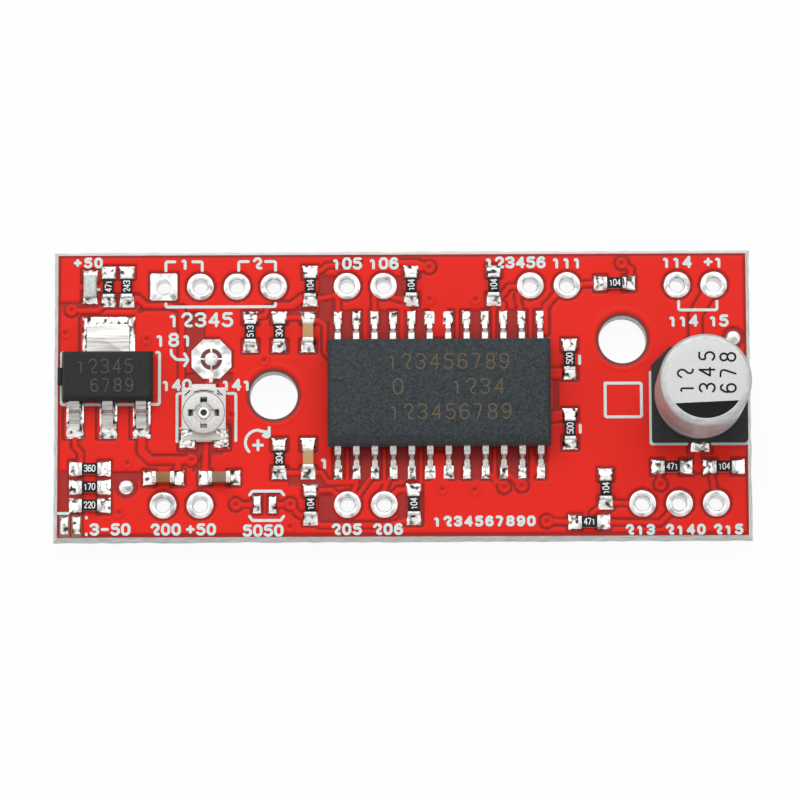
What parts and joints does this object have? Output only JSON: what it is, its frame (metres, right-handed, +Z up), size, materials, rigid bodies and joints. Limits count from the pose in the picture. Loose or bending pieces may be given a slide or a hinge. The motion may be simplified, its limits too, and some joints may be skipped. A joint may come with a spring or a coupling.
{
  "type": "stepper motor driver module",
  "caption": "Small flat circuit board with a driver chip, regulator, upright can capacitor, turnable current trimmer, header holes along both long edges and two mounting holes.",
  "frame": {"origin": "centre of the board's underside, which it rests on", "axes": "+X along the board towards the capacitor, +Y towards the motor header row, +Z up from the underside through the parts"},
  "size_m": [0.0482, 0.0204, 0.0093],
  "materials": {
    "board_mask": "glossy solder mask over glass-epoxy laminate",
    "moulding": "fine matt moulding compound",
    "tinned_metal": "bright tin plate",
    "can_aluminium": "satin drawn can",
    "black_plastic": "moulded",
    "seal_rubber": "moulded",
    "wound_foil": "wound foil and paper",
    "silicon": "polished",
    "alumina": "fired",
    "carbon_track": "screen printed resistive film",
    "resistor_overcoat": "glassy black overcoat on alumina with tinned ends",
    "tan_ceramic": "fired, with tinned ends",
    "brown_ceramic": "fired, with tinned ends",
    "clear_resin": "clear cast resin"
  },
  "bodies": {
    "board_assembly": {"circuit_board": "board_mask", "driver_package": "moulding", "driver_die": "silicon", "driver_ground_frame": "tinned_metal", "driver_leads_1_to_5": "tinned_metal", "driver_leads_8_to_12": "tinned_metal", "driver_leads_13_to_17": "tinned_metal", "driver_leads_20_to_24": "tinned_metal", "regulator_package": "moulding", "regulator_die": "silicon", "regulator_tab": "tinned_metal", "regulator_lead_left": "tinned_metal", "regulator_lead_right": "tinned_metal", "capacitor_can": "can_aluminium", "capacitor_base": "black_plastic", "capacitor_seal": "seal_rubber", "capacitor_winding": "wound_foil", "capacitor_lead_positive": "tinned_metal", "capacitor_lead_negative": "tinned_metal", "trimmer_base": "alumina", "trimmer_track": "carbon_track", "trimmer_eyelet": "tinned_metal", "trimmer_wiper_terminal": "tinned_metal", "trimmer_end_terminal_left": "tinned_metal", "trimmer_end_terminal_right": "tinned_metal", "light_carrier": "alumina", "light_lens": "clear_resin", "light_resistor": "resistor_overcoat", "regulator_feedback_resistor": "resistor_overcoat", "enable_pull_resistor": "resistor_overcoat", "reset_pull_resistor": "resistor_overcoat", "sleep_pull_resistor": "resistor_overcoat", "step_series_resistor": "resistor_overcoat", "driver_timing_resistor_a": "resistor_overcoat", "driver_timing_resistor_b": "resistor_overcoat", "reference_resistor": "resistor_overcoat", "sense_resistor_a": "resistor_overcoat", "sense_resistor_b": "resistor_overcoat", "direction_series_resistor": "resistor_overcoat", "mode_pull_resistor_a": "resistor_overcoat", "mode_pull_resistor_b": "resistor_overcoat", "mode_pull_resistor_c": "resistor_overcoat", "step_pull_resistor": "resistor_overcoat", "direction_pull_resistor": "resistor_overcoat", "bias_resistor_1": "resistor_overcoat", "bias_resistor_2": "resistor_overcoat", "bias_resistor_3": "resistor_overcoat", "driver_timing_capacitor_a": "tan_ceramic", "driver_timing_capacitor_b": "tan_ceramic", "supply_filter_capacitor": "brown_ceramic", "logic_filter_capacitor": "brown_ceramic"},
    "trimmer_rotor": {"trimmer_rotor": "tinned_metal"}
  },
  "joints": [
    {"name": "trimmer_turn", "type": "hinge", "parent": "board_assembly", "child": "trimmer_rotor", "pos_m": [-0.01368, -0.00133, 0.0023], "axis": [0, 0, 1], "range_deg": [-130, 130]}
  ]
}
